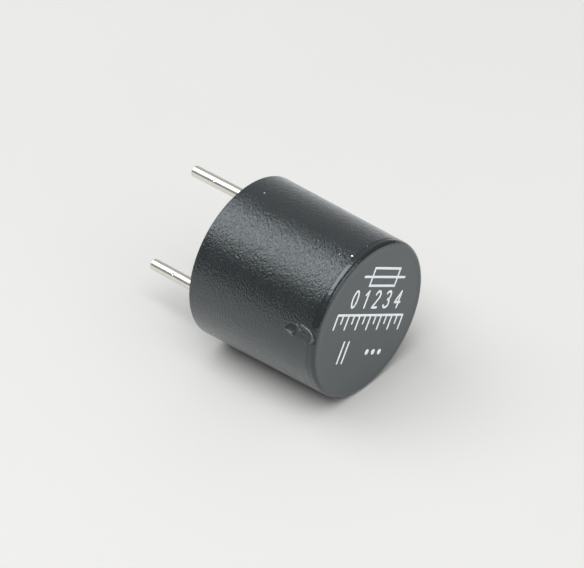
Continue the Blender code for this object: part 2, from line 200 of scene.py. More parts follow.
# Camera and floor
CAMERA_PLACE = (15.964 * MM, 123.746 * MM, 77.061 * MM)
CAMERA_AIM = (-0.349 * MM, -1.281 * MM, 2.526 * MM)
CAMERA_LENS = 184.93
CAMERA_SENSOR = 36.0
FLOOR_TOUCH_AZIMUTH = math.radians(217.4)
FLOOR_RADIUS = 0.5
FLOOR_COLOUR = (0.345, 0.345, 0.3385)
WORLD_COLOUR = (0.83, 0.83, 0.82, 1.0)

# Tent: its levels in front of and behind the object, and that of its lining, which lights surfaces only
TENT_RADIUS = 0.62
TENT_COLOUR = (0.97, 1.0, 1.01, 1.0)
TENT_FRONT_LEVEL = 0.15
TENT_BACK_LEVEL = 0.37
TENT_BACK_RIGHT_LEVEL = 0.148
TENT_LINING_RADIUS = 0.58
TENT_LINING_LEVEL = 0.88

# Black moulding: tints of its shine and sheen, how far its colour and roughness wander and over what
# distance, and how much finer its second layer of grain is than the first
SHINE_TINT = (0.90, 1.0, 1.03, 1.0)
SHEEN_TINT = (0.92, 1.0, 1.02, 1.0)
SHEEN_ROUGHNESS = 0.4
COLOUR_SWING = 0.15
ROUGHNESS_SWING = 0.03
PATCH_SCALE = 900.0
FINE_GRAIN_RATIO = 2.1

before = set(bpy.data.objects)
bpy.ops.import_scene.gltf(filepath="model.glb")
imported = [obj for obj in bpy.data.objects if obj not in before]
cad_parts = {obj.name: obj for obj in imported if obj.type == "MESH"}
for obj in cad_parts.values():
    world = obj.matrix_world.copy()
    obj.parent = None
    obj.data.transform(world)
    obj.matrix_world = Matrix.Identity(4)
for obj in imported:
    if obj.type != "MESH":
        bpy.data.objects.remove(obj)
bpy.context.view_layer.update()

# Places that follow from the frame
cap_low, cap_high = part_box("cap")
STAND_OFF = cap_low.z
HEAD_Z = cap_high.z
MOUTH_RADIUS = (cap_high.x - cap_low.x) / 2
CEILING_Z = HEAD_Z - CAP_HEAD_THICKNESS
BASE_BOTTOM_Z = STAND_OFF + BASE_RECESS
BASE_TOP_Z = BASE_BOTTOM_Z + BASE_THICKNESS
BOSS_TOP_Z = BASE_TOP_Z + BOSS_HEIGHT
COLLAR_Z = BOSS_TOP_Z + COLLAR_CLEARANCE
COLLAR_TOP_Z = COLLAR_Z + COLLAR_HEIGHT
TAPER_Z = COLLAR_TOP_Z + NECK_HEIGHT
ELEMENT_Z = TAPER_Z + PADDLE_TAPER + PADDLE_BELOW_CORE
FLOOR_NORMAL = -Vector(
    (
        math.cos(FLOOR_TOUCH_AZIMUTH) * math.cos(CAP_DRAFT),
        math.sin(FLOOR_TOUCH_AZIMUTH) * math.cos(CAP_DRAFT),
        math.sin(CAP_DRAFT),
    )
)
VIEW = (Vector(CAMERA_AIM) - Vector(CAMERA_PLACE)).normalized()
RIGHT = VIEW.cross(FLOOR_NORMAL).normalized()
BACK = FLOOR_NORMAL.cross(RIGHT)

# Lamps: direction as right, up from the floor and back, width in degrees as seen from the object, level,
# whether it lights surfaces, and whether it shows in glossy faces
LAMP_DISTANCE = 0.35
LAMPS = {
    "softbox_left": ((-0.51, 0.85, 0.13), 44.0, 3.7, True, True),
    "softbox_right": ((0.60, 0.55, -0.58), 44.0, 1.4, True, True),
    "softbox_right_shine": ((0.60, 0.55, -0.58), 44.0, 2.1, False, True),
    "front_fill": ((-0.05, 0.90, -0.42), 40.0, 7.3, True, False),
}


def side_radius(z):
    """Radius of the drafted side: the mouth's radius less the height above it times the draft's tangent."""
    return MOUTH_RADIUS - (z - STAND_OFF) * math.tan(CAP_DRAFT)


def bore_radius(z):
    """Radius of the cap's bore: the side's radius less the wall."""
    return side_radius(z) - CAP_WALL


def plug_radius(z):
    """Radius of what fits inside the cap: the bore's radius less the base's clearance."""
    return bore_radius(z) - BASE_CLEARANCE


def snap_points():
    """The snap's three corners, bottom to top: how far each stands out of the bore, and its height."""
    middle = STAND_OFF + SNAP_ABOVE_MOUTH
    half = SNAP_WIDTH / 2
    return [(0.0, middle - half), (SNAP_HEIGHT, middle), (0.0, middle + half)]


# Surfaces as grids


def place_mesh(name, points, faces, materials):
    """Object at the origin with these points and faces, smooth except at its sharp edges."""
    mesh = bpy.data.meshes.new(name)
    mesh.from_pydata(points.tolist(), [], faces)
    mesh.shade_smooth()
    mesh.set_sharp_from_angle(angle=SHARP_ANGLE)
    for material in materials:
        mesh.materials.append(material)
    obj = bpy.data.objects.new(name, mesh)
    bpy.context.scene.collection.objects.link(obj)
    return obj


def grid_faces(rows, columns, closed_rows=False):
    """Quads of a grid stored row after row. The last column meets the first, and the rows too if closed."""
    row = np.arange(rows if closed_rows else rows - 1)[:, None]
    above = (row + 1) % rows * columns
    row = row * columns
    column = np.arange(columns)[None, :]
    after = (column + 1) % columns
    quads = np.stack([row + column, row + after, above + after, above + column], axis=-1)
    return quads.reshape(-1, 4)


def closed_body(grid):
    """Points and faces of a grid of rings whose first and last rings each shrink to one pole point."""
    rows, columns = grid.shape[:2]
    points = np.concatenate([grid[0, :1], grid[1:-1].reshape(-1, 3), grid[-1, :1]])
    faces = (grid_faces(rows - 2, columns) + 1).tolist()
    ring = np.arange(columns)
    after = (ring + 1) % columns
    last = 1 + (rows - 3) * columns
    faces += np.stack([0 * ring, after + 1, ring + 1], axis=-1).tolist()
    faces += np.stack([0 * ring + len(points) - 1, last + ring, last + after], axis=-1).tolist()
    return points, faces


def capped(rings):
    """Closed body of rings, each end closed to the middle of its own ring."""
    rings = np.asarray(rings)
    ends = [np.broadcast_to(ring.mean(axis=0), ring.shape) for ring in (rings[0], rings[-1])]
    return closed_body(np.concatenate([ends[:1], rings, ends[1:]]))


def turned_grid(profile, azimuth):
    """Points of a turned surface: each (radius, height) swept to every azimuth as (r cos a, r sin a, z)."""
    r, z, a = profile[:, :1], profile[:, 1:], azimuth[None, :]
    return np.stack([r * np.cos(a), r * np.sin(a), z + 0.0 * a], axis=-1)


def round_angles(count):
    """Angles evenly round a full turn, the first one nought."""
    return np.arange(count) * TAU / count


def arc(centre_r, centre_z, radius, start, end, steps):
    """Points of an arc in the profile plane, angles in degrees from +R towards +Z."""
    angle = np.radians(np.linspace(start, end, steps + 1))
    return np.stack([centre_r + radius * np.cos(angle), centre_z + radius * np.sin(angle)], axis=-1)


def graded(stations):
    """Values with their own steps: for each stretch (start, end, count), evenly spaced and joined."""
    parts = [np.linspace(start, end, count, endpoint=False) for start, end, count in stations]
    return np.concatenate(parts + [[stations[-1][1]]])


def superellipse(half_x, half_y, power, azimuth):
    """Outline with cosine and sine raised to two over the power: an ellipse at 2, nearly square at 8."""
    c, s = np.cos(azimuth), np.sin(azimuth)
    x = half_x * np.sign(c) * np.abs(c) ** (2.0 / power)
    y = half_y * np.sign(s) * np.abs(s) ** (2.0 / power)
    return np.stack([x, y], axis=-1)


def at_height(outline, z):
    """Ring of a plane outline at one height."""
    return np.column_stack([outline, np.full(len(outline), z)])


def laid_along_x(points, sign, start):
    """Lays a body made along +Z on the element's axis, its foot at start and its top towards the sign."""
    x, y, z = points[:, 0], points[:, 1], points[:, 2]
    return np.stack([start + sign * z, y, ELEMENT_Z - sign * x], axis=-1)


def combine(piece, operation, points, faces):
    """Joins or cuts the piece by another closed body with an exact Boolean, and keeps only the result."""
    tool = place_mesh("tool", points, faces, [])
    modifier = piece.modifiers.new("combine", "BOOLEAN")
    modifier.operation = operation
    modifier.solver = "EXACT"
    modifier.object = tool
    bpy.context.view_layer.update()
    graph = bpy.context.evaluated_depsgraph_get()
    result = bpy.data.meshes.new_from_object(piece.evaluated_get(graph))
    piece.modifiers.clear()
    piece.data = result
    bpy.data.objects.remove(tool, do_unlink=True)
    bm = bmesh.new()
    bm.from_mesh(result)
    bmesh.ops.remove_doubles(bm, verts=bm.verts, dist=MERGE_DISTANCE)
    bm.to_mesh(result)
    bm.free()
    result.shade_smooth()
    result.set_sharp_from_angle(angle=CUT_SHARP_ANGLE)


# Shader nodes


def node(tree, kind, inputs=None, **settings):
    """New shader node with its settings and the values or links of its inputs."""
    made = tree.nodes.new(kind)
    for key, value in settings.items():
        setattr(made, key, value)
    for key, value in (inputs or {}).items():
        if isinstance(value, bpy.types.NodeSocket):
            tree.links.new(value, made.inputs[key])
        else:
            made.inputs[key].default_value = value
    return made


def math_node(tree, operation, *values):
    """Result of an operation of arithmetic on values or links."""
    return node(tree, "ShaderNodeMath", dict(enumerate(values)), operation=operation).outputs[0]


def noise(tree, place, scale, detail=1.0, roughness=0.5):
    """Factor of a noise texture, which wanders round a half."""
    inputs = {"Vector": place, "Scale": scale, "Detail": detail, "Roughness": roughness}
    return node(tree, "ShaderNodeTexNoise", inputs).outputs[0]


def spread(tree, value, low, high):
    """The value, which wanders round a half, laid out between low and high."""
    inputs = {"Value": value, "From Min": 0.25, "From Max": 0.75, "To Min": low, "To Max": high}
    return node(tree, "ShaderNodeMapRange", inputs).outputs[0]


def tinted(tree, factor, colour, swing):
    """Colour that wanders by the swing either way with the factor."""
    dark = (*[c * (1.0 - swing) for c in colour], 1.0)
    light = (*[c * (1.0 + swing) for c in colour], 1.0)
    made = node(tree, "ShaderNodeMix", {"Factor": factor, "A": dark, "B": light}, data_type="RGBA")
    return made.outputs["Result"]


def new_material(name):
    """Material with its node tree and its Principled shader."""
    material = bpy.data.materials.new(name)
    material.use_nodes = True
    return material, material.node_tree, material.node_tree.nodes["Principled BSDF"]


def new_group(name, inputs, outputs):
    """Shader node group with named float inputs and their first values, and named float outputs."""
    group = bpy.data.node_groups.new(name, "ShaderNodeTree")
    for label, value in inputs.items():
        socket = group.interface.new_socket(label, in_out="INPUT", socket_type="NodeSocketFloat")
        socket.default_value = value
    for label in outputs:
        group.interface.new_socket(label, in_out="OUTPUT", socket_type="NodeSocketFloat")
    return group, group.nodes.new("NodeGroupInput"), group.nodes.new("NodeGroupOutput")


def moulded_grain_group():
    """Grain of a spark-eroded mould: a layer of noise and a share of a finer one, squeezed along the axis.

    So its cells run round the piece. The height fades out between two levels along the axis, which lie far
    above every piece unless they are given. Patch is a slow wander for colour and roughness.
    """
    first = {"Cell": 0.1 * MM, "Squeeze": 1.0, "Fine Share": 0.4, "Fade Start": 1.0, "Fade End": 2.0}
    group, given, out = new_group("moulded_grain", first, ("Height", "Patch"))
    place = group.nodes.new("ShaderNodeTexCoord").outputs["Object"]
    parts = node(group, "ShaderNodeSeparateXYZ", {0: place})
    along = math_node(group, "MULTIPLY", parts.outputs["Z"], given.outputs["Squeeze"])
    inputs = {"X": parts.outputs["X"], "Y": parts.outputs["Y"], "Z": along}
    squeezed = node(group, "ShaderNodeCombineXYZ", inputs).outputs[0]
    scale = math_node(group, "DIVIDE", 1.0, given.outputs["Cell"])
    coarse = noise(group, squeezed, scale)
    fine = noise(group, squeezed, math_node(group, "MULTIPLY", scale, FINE_GRAIN_RATIO))
    fine_height = math_node(group, "MULTIPLY", fine, given.outputs["Fine Share"])
    height = math_node(group, "ADD", coarse, fine_height)
    keep = node(
        group,
        "ShaderNodeMapRange",
        {
            "Value": parts.outputs["Z"],
            "From Min": given.outputs["Fade Start"],
            "From Max": given.outputs["Fade End"],
            "To Min": 1.0,
            "To Max": 0.0,
        },
        interpolation_type="SMOOTHSTEP",
    ).outputs[0]
    group.links.new(math_node(group, "MULTIPLY", height, keep), out.inputs["Height"])
    group.links.new(noise(group, place, PATCH_SCALE, detail=2.0), out.inputs["Patch"])
    return group


def moulding_material(name, grain, colour, roughness, grain_values, relief, specular, sheen):
    """Black moulding: near-black base, grain as bump, and colour and roughness that wander in patches."""
    material, tree, shader = new_material(name)
    shader.inputs["Specular IOR Level"].default_value = specular
    shader.inputs["Specular Tint"].default_value = SHINE_TINT
    shader.inputs["Sheen Weight"].default_value = sheen
    shader.inputs["Sheen Roughness"].default_value = SHEEN_ROUGHNESS
    shader.inputs["Sheen Tint"].default_value = SHEEN_TINT
    effect = tree.nodes.new("ShaderNodeGroup")
    effect.node_tree = grain
    for label, value in grain_values.items():
        effect.inputs[label].default_value = value
    bump = {"Strength": 1.0, "Distance": relief, "Height": effect.outputs["Height"]}
    tree.links.new(node(tree, "ShaderNodeBump", bump).outputs[0], shader.inputs["Normal"])
    patch = effect.outputs["Patch"]
    rough = spread(tree, patch, roughness - ROUGHNESS_SWING, roughness + ROUGHNESS_SWING)
    tree.links.new(rough, shader.inputs["Roughness"])
    tree.links.new(tinted(tree, patch, colour, COLOUR_SWING), shader.inputs["Base Color"])
    return material


def metal_material(name, colour, roughness, cell, relief, drawn=1.0, metallic=1.0):
    """Metal with fine noise, stretched along Z by one over drawn, as bump, roughness and a little tint."""
    material, tree, shader = new_material(name)
    shader.inputs["Metallic"].default_value = metallic
    place = tree.nodes.new("ShaderNodeTexCoord").outputs["Object"]
    stretched = node(tree, "ShaderNodeMapping", {"Vector": place, "Scale": (1.0, 1.0, drawn)}).outputs[0]
    lines = noise(tree, stretched, 1.0 / cell, detail=2.0, roughness=0.6)
    tree.links.new(spread(tree, lines, roughness * 0.75, roughness * 1.25), shader.inputs["Roughness"])
    tree.links.new(tinted(tree, lines, colour, 0.03), shader.inputs["Base Color"])
    bump = {"Strength": 1.0, "Distance": relief, "Height": lines}
    tree.links.new(node(tree, "ShaderNodeBump", bump).outputs[0], shader.inputs["Normal"])
    return material


def speckled_material(name, colour, roughness, cell, relief):
    """Pale matt material, such as ink or ceramic: speckled colour, and the same noise as a light bump."""
    material, tree, shader = new_material(name)
    place = tree.nodes.new("ShaderNodeTexCoord").outputs["Object"]
    specks = noise(tree, place, 1.0 / cell, detail=3.0, roughness=0.6)
    tree.links.new(tinted(tree, specks, colour, 0.06), shader.inputs["Base Color"])
    tree.links.new(spread(tree, specks, roughness - 0.05, roughness + 0.05), shader.inputs["Roughness"])
    bump = {"Strength": 1.0, "Distance": relief, "Height": specks}
    tree.links.new(node(tree, "ShaderNodeBump", bump).outputs[0], shader.inputs["Normal"])
    return material


# Cap


def cap_sections():
    """Half section of the cap as stretches of (radius, height) points, each with its finish.

    It runs from the ceiling's centre down the bore, round the mouth, up the side, over the rim and in to the
    head's centre, so that the faces look outwards. The head dips by a smooth step just inside the rim.
    """
    rim_z = HEAD_Z - CAP_RIM_RADIUS
    rim_r = side_radius(rim_z) - CAP_RIM_RADIUS / math.cos(CAP_DRAFT)
    edge_z = STAND_OFF + CAP_MOUTH_EDGE_RADIUS
    edge_r = side_radius(edge_z) - CAP_MOUTH_EDGE_RADIUS
    lead_in_z = STAND_OFF + CAP_LEAD_IN_DEPTH
    fillet_z = CEILING_Z - CAP_CEILING_FILLET
    fillet_r = bore_radius(fillet_z) - CAP_CEILING_FILLET
    snap = [(bore_radius(z) + rise, z) for rise, z in reversed(snap_points())]
    lead_in = [(bore_radius(lead_in_z), lead_in_z), (bore_radius(STAND_OFF) + CAP_LEAD_IN_WIDTH, STAND_OFF)]
    gate_low = HEAD_Z - GATE_BELOW_HEAD - GATE_REACH_ALONG * GATE_HALF_LENGTH
    side_z = graded([(edge_z, gate_low, 40), (gate_low, rim_z, 96)])[1:]
    side = np.stack([side_radius(side_z), side_z], axis=-1)
    head_r = graded([(rim_r, rim_r - HEAD_SINK_EDGE, 10), (rim_r - HEAD_SINK_EDGE, 0.0, 16)])[1:]
    dip = np.clip((rim_r - head_r) / HEAD_SINK_EDGE, 0.0, 1.0)
    head = np.stack([head_r, HEAD_Z - HEAD_SINK * dip**2 * (3.0 - 2.0 * dip)], axis=-1)
    smooth = side_z > HEAD_Z - SMOOTH_BAND
    return [
        ("grained", [(0.0, CEILING_Z)]),
        ("grained", arc(fillet_r, fillet_z, CAP_CEILING_FILLET, 90.0, 0.0, 10)),
        ("grained", snap + lead_in),
        ("smooth", arc(edge_r, edge_z, CAP_MOUTH_EDGE_RADIUS, -90.0, 0.0, 6)),
        ("grained", side[~smooth]),
        ("smooth", side[smooth]),
        ("smooth", arc(rim_r, rim_z, CAP_RIM_RADIUS, math.degrees(CAP_DRAFT), RIM_FINISH_END, 14)),
        ("satin", arc(rim_r, rim_z, CAP_RIM_RADIUS, RIM_FINISH_END, 90.0, 6)[1:]),
        ("satin", head),
    ]


def bell(value, width, power=2):
    """Bell curve: e to the minus the power of the value over the width."""
    return np.exp(-((value / width) ** power))


def gate_marks(around, along):
    """Height out of the side and weight of each finish, at arc lengths and heights from the gate's centre.

    With q the point's share of the egg's half sizes, the scar is minus its depth times one less the cube
    of q, and runs out towards the floor. The lip is a bell round a q of one, on its own part of the turn,
    with a groove outside it. The pit is a bell of the fourth power in its half sizes, and each grain one in
    its radius. The burr is a bell across its line and one of the fourth power along it. The lip, burr and
    grains are worn and paler, which is partly a painted highlight. The pit and groove are torn and dull,
    which is partly painted shade. The lip's upper part is scuffed paler still, which is partly a painted
    highlight.
    """
    u = along / GATE_HALF_LENGTH
    v = around / (GATE_HALF_WIDTH * (1.0 + GATE_EGG * np.clip(u, -1.0, 1.0)))
    q = np.hypot(u, v)
    scar = -GATE_DEPTH * np.clip(1.0 - q**3, 0.0, 1.0) * np.clip(GATE_RUN_OUT * (1.0 - v), 0.0, 1.0)
    off_lip = np.abs((np.arctan2(v, u) - GATE_LIP_TURN + math.pi) % TAU - math.pi)
    kept = bell(off_lip, GATE_LIP_SPREAD, 6)
    lip = bell(q - 1.0, GATE_LIP_SHARE) * kept
    groove = bell(q - GATE_GROOVE_SHARE, GATE_LIP_SHARE) * kept
    pit_around = (around - GATE_PIT_PLACE[0]) / GATE_PIT_HALF_SIZES[0]
    pit_along = (along - GATE_PIT_PLACE[1]) / GATE_PIT_HALF_SIZES[1]
    pit = bell(np.hypot(pit_around, pit_along), 1.0, 4)
    c, s = math.cos(GATE_BURR_TURN), math.sin(GATE_BURR_TURN)
    beside = c * (around - GATE_BURR_PLACE[0]) - s * (along - GATE_BURR_PLACE[1])
    ahead = s * (around - GATE_BURR_PLACE[0]) + c * (along - GATE_BURR_PLACE[1])
    burr = bell(beside, GATE_BURR_HALF_SIZES[0]) * bell(ahead, GATE_BURR_HALF_SIZES[1], 4)
    height = scar + GATE_LIP_HEIGHT * (lip - GATE_GROOVE_DEPTH * groove)
    height += GATE_BURR_HEIGHT * burr - GATE_PIT_DEPTH * pit
    # Worn finish, paler: partly a painted highlight on the lip, burr and grains
    worn_and_highlit = np.maximum(lip, burr)
    # Scuffed finish on the lip's upper part, paler still: partly a painted highlight
    scuffed_and_highlit = lip * np.clip(-GATE_SCUFF_HIGHLIGHT_GAIN * v, 0.0, 1.0)
    for grain_around, grain_along, radius, rise, bright in GATE_GRAINS:
        grain = bell(np.hypot(around - grain_around, along - grain_along), radius, 4)
        height += rise * grain
        worn_and_highlit = np.maximum(worn_and_highlit, grain)
        scuffed_and_highlit = np.maximum(scuffed_and_highlit, bright * grain)
    # Torn finish, dull and dark in the pit and groove: partly painted shade
    torn_and_shaded = np.maximum(pit**GATE_TORN_SHADE_POWER, groove)
    return height, {"torn_and_shaded": torn_and_shaded, "worn_and_highlit": worn_and_highlit, "scuffed_and_highlit": scuffed_and_highlit}


def make_cap(materials):
    """Turned cap, whose side the gate mark moves in or out.

    A face takes a mark's finish where that weighs more than a half. The mark fades out from the side to the
    rim's inner edge, so the bore and the head stay as they are.
    """
    finishes = list(materials)
    sections = cap_sections()
    profile = np.concatenate([points for _, points in sections])
    label = np.concatenate([np.full(len(points), finishes.index(finish)) for finish, points in sections])
    gate_z = HEAD_Z - GATE_BELOW_HEAD
    half_turn = GATE_REACH_AROUND * GATE_HALF_WIDTH / side_radius(gate_z)
    start, end = GATE_AZIMUTH - half_turn, GATE_AZIMUTH + half_turn
    azimuth = graded([(start, end, 80), (end, start + TAU, 200)])[:-1]
    r, z = profile[:, :1], profile[:, 1:]
    around = (azimuth[None, :] - GATE_AZIMUTH + math.pi) % TAU - math.pi
    around = around * side_radius(gate_z)
    outer = np.clip((r - side_radius(HEAD_Z) + CAP_RIM_RADIUS) / CAP_RIM_RADIUS, 0.0, 1.0)
    gate, weights = gate_marks(around, z - gate_z)
    moved = r + outer * gate
    grid = np.stack([moved * np.cos(azimuth), moved * np.sin(azimuth), z + 0.0 * moved], axis=-1)
    points, faces = closed_body(grid)
    cap = place_mesh("cap_moulding", points, faces, list(materials.values()))
    columns = len(azimuth)
    bands = np.repeat(label[2:-1, None], columns, axis=1)
    for finish, weight in weights.items():
        bands[(outer * weight)[1:-2] > 0.5] = finishes.index(finish)
    slots = np.concatenate([bands.ravel(), np.repeat(label[[1, -1]], columns)])
    cap.data.polygons.foreach_set("material_index", slots.astype(np.int32))
    return cap


# Base


def stadium(half_width, straight):
    """Outline of a slot shape along Y: two half circles joined by straight sides."""
    upper = arc(0.0, straight, half_width, 0.0, 180.0, 20)
    lower = arc(0.0, -straight, half_width, 180.0, 360.0, 20)
    return np.concatenate([upper, lower])


def plug_profile():
    """Half section of the plug: a rounded bottom edge, the drafted side with its snap, and a chamfer."""
    edge_z = BASE_BOTTOM_Z + BASE_BOTTOM_RADIUS
    edge = arc(plug_radius(edge_z) - BASE_BOTTOM_RADIUS, edge_z, BASE_BOTTOM_RADIUS, -90.0, 0.0, 5)
    snap = [(plug_radius(z) + rise, z) for rise, z in snap_points()]
    shoulder_z = BASE_TOP_Z - BASE_TOP_CHAMFER
    shoulder = plug_radius(shoulder_z)
    top = [(shoulder, shoulder_z), (shoulder - BASE_TOP_CHAMFER, BASE_TOP_Z), (0.0, BASE_TOP_Z)]
    return np.concatenate([[(0.0, BASE_BOTTOM_Z)], edge, snap, top])


def boss_profile():
    """Half section of one boss: a straight foot inside the plug, a drafted side and a rounded top edge."""
    top = HOLE_RADIUS + BOSS_WALL
    foot = top + BOSS_TAPER
    low = [(0.0, BASE_TOP_Z - OVERLAP), (foot, BASE_TOP_Z - OVERLAP), (foot, BASE_TOP_Z)]
    edge = arc(top - BOSS_EDGE_RADIUS, BOSS_TOP_Z - BOSS_EDGE_RADIUS, BOSS_EDGE_RADIUS, 10.0, 90.0, 5)
    return np.concatenate([low, edge, [(0.0, BOSS_TOP_Z)]])


def make_base(material):
    """Moulded plug with its rib, bosses and barrier joined on, cut by the leads' stepped holes."""
    points, faces = closed_body(turned_grid(plug_profile(), round_angles(192)))
    base = place_mesh("base_moulding", points, faces, [material])
    combine(base, "UNION", *capped(rib_rings()))
    boss_points, boss_faces = closed_body(turned_grid(boss_profile(), round_angles(64)))
    for side in (-1, 1):
        combine(base, "UNION", boss_points + [side * LEAD_PITCH / 2, 0.0, 0.0], boss_faces)
    combine(base, "UNION", *capped(barrier_rings()))
    hole_points, hole_faces = closed_body(turned_grid(hole_profile(), round_angles(64)))
    for side in (-1, 1):
        combine(base, "DIFFERENCE", hole_points + [side * LEAD_PITCH / 2, 0.0, 0.0], hole_faces)
    shading = base.modifiers.new("flat_faces", "WEIGHTED_NORMAL")
    shading.keep_sharp = True
    return base


def rib_rings():
    """Rings of the stand-off rib: a rounded lower edge, and a root that flares into the plug."""
    half = RIB_WIDTH / 2
    straight = plug_radius(BASE_BOTTOM_Z) - RIB_END_GAP - half
    edge = arc(half - RIB_EDGE_RADIUS, RIB_EDGE_RADIUS, RIB_EDGE_RADIUS, -90.0, 0.0, 6)
    root_z = BASE_BOTTOM_Z - RIB_ROOT_RADIUS
    root = arc(half + RIB_ROOT_RADIUS, root_z, RIB_ROOT_RADIUS, 180.0, 100.0, 5)
    sections = np.concatenate([edge, root, [(root[-1, 0], BASE_BOTTOM_Z + OVERLAP)]])
    return [at_height(stadium(width, straight), z) for width, z in sections]


def barrier_rings():
    """Rings of the drafted wall between the leads: blunt outlines that narrow upwards to a rounded top."""
    top_z = ELEMENT_Z - WINDING_RADIUS - WIRE_RADIUS - BARRIER_BELOW_WINDING
    foot = np.array([BARRIER_FOOT_THICKNESS / 2, plug_radius(BASE_TOP_Z) - BARRIER_END_GAP])
    top = np.array([BARRIER_TOP_THICKNESS / 2, foot[1] - BARRIER_TOP_THICKNESS / 2])
    sections = [(foot, BASE_TOP_Z - OVERLAP), (foot, BASE_TOP_Z)]
    angle = np.radians(np.linspace(0.0, 90.0, 7))
    inset = BARRIER_TOP_RADIUS * (1.0 - np.cos(angle))
    rise = BARRIER_TOP_RADIUS * np.sin(angle)
    sections += [(top - i, top_z - BARRIER_TOP_RADIUS + r) for i, r in zip(inset, rise)]
    azimuth = round_angles(96)
    return [at_height(superellipse(*half, BLUNT, azimuth), z) for half, z in sections]


def hole_profile():
    """Half section of one lead's hole: a rounded mouth, a straight relief, a cone and the narrow bore."""
    relief = HOLE_RADIUS + RELIEF_WIDTH
    relief_z = BASE_BOTTOM_Z + RELIEF_DEPTH
    edge = RELIEF_EDGE_RADIUS
    mouth = arc(relief + edge, BASE_BOTTOM_Z + edge, edge, 260.0, 180.0, 5)
    wide = mouth[0, 0]
    below = BASE_BOTTOM_Z - OVERLAP
    above = BOSS_TOP_Z + OVERLAP
    rest = [(relief, relief_z), (HOLE_RADIUS, relief_z + RELIEF_WIDTH), (HOLE_RADIUS, above), (0.0, above)]
    return np.concatenate([[(0.0, below), (wide, below)], mouth, rest])


# Leads


def make_lead(side, x, material):
    """Round lead from its tip up past the collar into the flattened paddle, whose top is cut to a fork.

    The paddle's half sizes and power ease from round to blunt by a smooth step. The nick takes off its depth
    times one less the square of the distance over its radius.
    """
    low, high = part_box(f"lead_{side}")
    tip_z = low.z + LEAD_TIP_RADIUS
    nick_z = low.z + NICK_ABOVE_TIP
    nick_low, nick_high = nick_z - NICK_REACH * NICK_RADIUS, nick_z + NICK_REACH * NICK_RADIUS
    azimuth = round_angles(96)
    tip = arc(LEAD_RADIUS - LEAD_TIP_RADIUS, tip_z, LEAD_TIP_RADIUS, -90.0, 0.0, 8)
    shank_z = graded([(tip_z, nick_low, 30), (nick_low, nick_high, 18), (nick_high, COLLAR_Z, 60)])[1:]
    shank = np.stack([np.full_like(shank_z, LEAD_RADIUS), shank_z], axis=-1)
    collar_r = LEAD_RADIUS + COLLAR_WIDTH
    collar = [(collar_r, COLLAR_Z), (collar_r, COLLAR_TOP_Z), (LEAD_RADIUS, COLLAR_TOP_Z)]
    sections = np.concatenate([tip, shank, collar])
    rings = [at_height(superellipse(r, r, 2.0, azimuth), z) for r, z in sections]
    for share in np.linspace(0.0, 1.0, 13):
        ease = share * share * (3.0 - 2.0 * share)
        half_x = LEAD_RADIUS + ease * (PADDLE_THICKNESS / 2 - LEAD_RADIUS)
        half_y = LEAD_RADIUS + ease * (PADDLE_HALF_WIDTH - LEAD_RADIUS)
        outline = superellipse(half_x, half_y, 2.0 + (BLUNT - 2.0) * ease, azimuth)
        rings.append(at_height(outline, TAPER_Z + share * PADDLE_TAPER))
    rings.append(at_height(superellipse(PADDLE_THICKNESS / 2, PADDLE_HALF_WIDTH, BLUNT, azimuth), high.z))
    rings = np.array(rings)
    turn = np.abs((azimuth - NICK_AZIMUTH + math.pi) % TAU - math.pi) * LEAD_RADIUS
    away = np.hypot(rings[:, :, 2] - nick_z, turn[None, :]) / NICK_RADIUS
    rings[:, :, :2] *= (1.0 - NICK_DEPTH / LEAD_RADIUS * np.clip(1.0 - away**2, 0.0, 1.0))[:, :, None]
    points, faces = capped(rings)
    lead = place_mesh(f"lead_{side}_tinned", points + [x, 0.0, 0.0], faces, [material])
    top = high.z + FORK_CUT_PAST
    notch = arc(0.0, ELEMENT_Z, FORK_RADIUS, 180.0, 360.0, 32)
    notch = np.concatenate([notch, [(FORK_RADIUS, top), (-FORK_RADIUS, top)]])
    places = (x - PADDLE_THICKNESS, x + PADDLE_THICKNESS)
    cutter = [np.column_stack([np.full(len(notch), place), notch]) for place in places]
    combine(lead, "DIFFERENCE", *capped(cutter))
    return lead


# Fuse element


def make_core(material):
    """Turned rod with rounded ends, laid along X in both forks."""
    half = LEAD_PITCH / 2 + PADDLE_THICKNESS / 2 + CORE_OVERHANG
    inner = CORE_RADIUS - CORE_END_RADIUS
    low = arc(inner, -half + CORE_END_RADIUS, CORE_END_RADIUS, -90.0, 0.0, 5)
    high = arc(inner, half - CORE_END_RADIUS, CORE_END_RADIUS, 0.0, 90.0, 5)
    profile = np.concatenate([[(0.0, -half)], low, high, [(0.0, half)]])
    points, faces = closed_body(turned_grid(profile, round_angles(64)))
    return place_mesh("core_rod", laid_along_x(points, 1.0, 0.0), faces, [material])


def make_winding(material):
    """Wire wound round the core: a circle carried along a helix, on its radial line and its binormal."""
    reach = LEAD_PITCH / 2 - PADDLE_THICKNESS / 2 - ELEMENT_CLEARANCE - SOLDER_LENGTH / 2
    share = np.linspace(0.0, 1.0, WIRE_TURNS * 48 + 1)
    turn = share * WIRE_TURNS * TAU
    radial = np.stack([0.0 * turn, np.cos(turn), np.sin(turn)], axis=-1)
    rise = np.full_like(turn, 2 * reach / (WIRE_TURNS * TAU))
    heading = np.stack([rise, -WINDING_RADIUS * np.sin(turn), WINDING_RADIUS * np.cos(turn)], axis=-1)
    heading /= np.linalg.norm(heading, axis=1)[:, None]
    binormal = np.cross(heading, radial)
    axis_points = np.stack([reach * (2 * share - 1), 0 * share, 0 * share + ELEMENT_Z], axis=-1)
    middle = axis_points + WINDING_RADIUS * radial
    around = round_angles(12)[None, :, None]
    circle = np.cos(around) * radial[:, None] + np.sin(around) * binormal[:, None]
    return place_mesh("winding_wire", *capped(middle[:, None] + WIRE_RADIUS * circle), [material])


